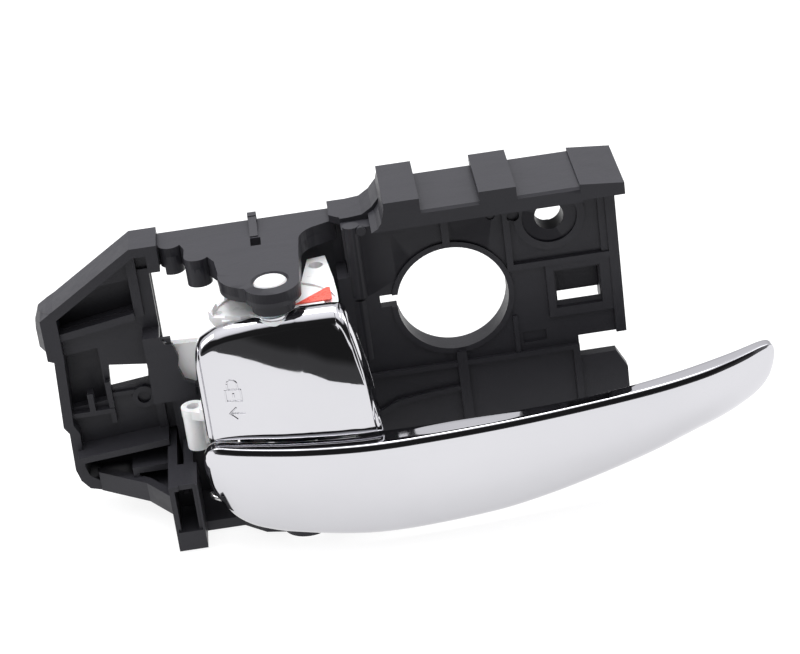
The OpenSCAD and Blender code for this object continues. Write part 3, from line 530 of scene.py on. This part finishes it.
def sky_ramp(stops):
    rp = nt.nodes.new("ShaderNodeValToRGB")
    mr = nt.nodes.new("ShaderNodeMapRange")
    for i, v in enumerate((-1, 1, 0, 1)):
        mr.inputs[i + 1].default_value = v
    nt.links.new(sep.outputs[2], mr.inputs[0])
    nt.links.new(mr.outputs[0], rp.inputs[0])
    e = rp.color_ramp.elements
    while len(e) < len(stops):
        e.new(0.5)
    for el, (z, v) in zip(e, stops):
        el.position = (z + 1) / 2
        el.color = (v, v, v * 1.03, 1)
    return rp.outputs[0]


front = sky_ramp([(-1.0, 0.4), (-0.3, 0.07), (0.06, 0.065), (0.16, 0.016), (0.60, 0.02), (0.69, 1.0), (1.0, 1.5)])
behind = sky_ramp([(-1.0, 0.9), (0.0, 0.55), (0.45, 0.85), (0.75, 1.2), (1.0, 1.5)])
side = nt.nodes.new("ShaderNodeMapRange")
for i, v in enumerate((-0.35, 0.15, 0, 1)):
    side.inputs[i + 1].default_value = v
nt.links.new(sep.outputs[1], side.inputs[0])
mx = nt.nodes.new("ShaderNodeMix")
mx.data_type = "RGBA"
nt.links.new(side.outputs[0], mx.inputs[0])
nt.links.new(front, mx.inputs[6])
nt.links.new(behind, mx.inputs[7])
seen = nt.nodes.new("ShaderNodeLightPath")
back_wall = nt.nodes.new("ShaderNodeMix")
back_wall.data_type = "RGBA"
back_wall.inputs[7].default_value = (1.03, 1.03, 1.03, 1)
nt.links.new(seen.outputs["Is Camera Ray"], back_wall.inputs[0])
nt.links.new(mx.outputs[2], back_wall.inputs[6])
nt.links.new(back_wall.outputs[2], bg.inputs[0])
bg.inputs[1].default_value = 1.0
nt.links.new(bg.outputs[0], out.inputs[0])


def area(name, loc, target, size, power, size_y=None):
    d = bpy.data.lights.new(name, "AREA")
    d.shape = "RECTANGLE"
    d.size = size
    d.size_y = size_y or size
    d.energy = power
    o = bpy.data.objects.new(name, d)
    scene.collection.objects.link(o)
    o.location = loc
    o.rotation_mode = "QUATERNION"
    o.rotation_quaternion = (Vector(target) - Vector(loc)).to_track_quat("-Z", "Y")
    return o


area("top_box", (-0.05, 0.30, 1.0), (-0.03, 0, 0), 0.9, 12.0)
area("left_box", (-0.9, 0.1, 0.6), (-0.05, 0, -0.02), 0.5, 2.5)
area("right_box", (0.9, 0.1, 0.6), (-0.02, 0, -0.02), 0.5, 1.5)
fill = area("front_fill", (-0.25, -1.0, 0.45), (-0.05, 0, -0.02), 1.4, 3.0)
fill.visible_glossy = False

TH, AZ, ROLL, F = 26.81, -1.496, 7.795, 2538.6
th, az, rl = (math.radians(v) for v in (TH, AZ, ROLL))
back = Vector((math.sin(az) * math.cos(th), -math.cos(az) * math.cos(th), math.sin(th)))
fwd = -back
right = fwd.cross(Vector((0, 0, 1))).normalized()
up = right.cross(fwd)
c, s = math.cos(rl), math.sin(rl)
r2 = right * c - up * s
u2 = right * s + up * c
cam = bpy.data.objects.new("camera", bpy.data.cameras.new("camera"))
scene.collection.objects.link(cam)
cam.data.sensor_width = 36.0
cam.data.lens = F / 800 * 36.0
cam.data.clip_start, cam.data.clip_end = 0.01, 20
rot = Matrix((r2, u2, -fwd)).transposed().to_4x4()
rot.translation = Vector((-0.05108, -0.52784, 0.24415))
cam.matrix_world = rot
scene.camera = cam
scene.view_settings.view_transform = "Standard"
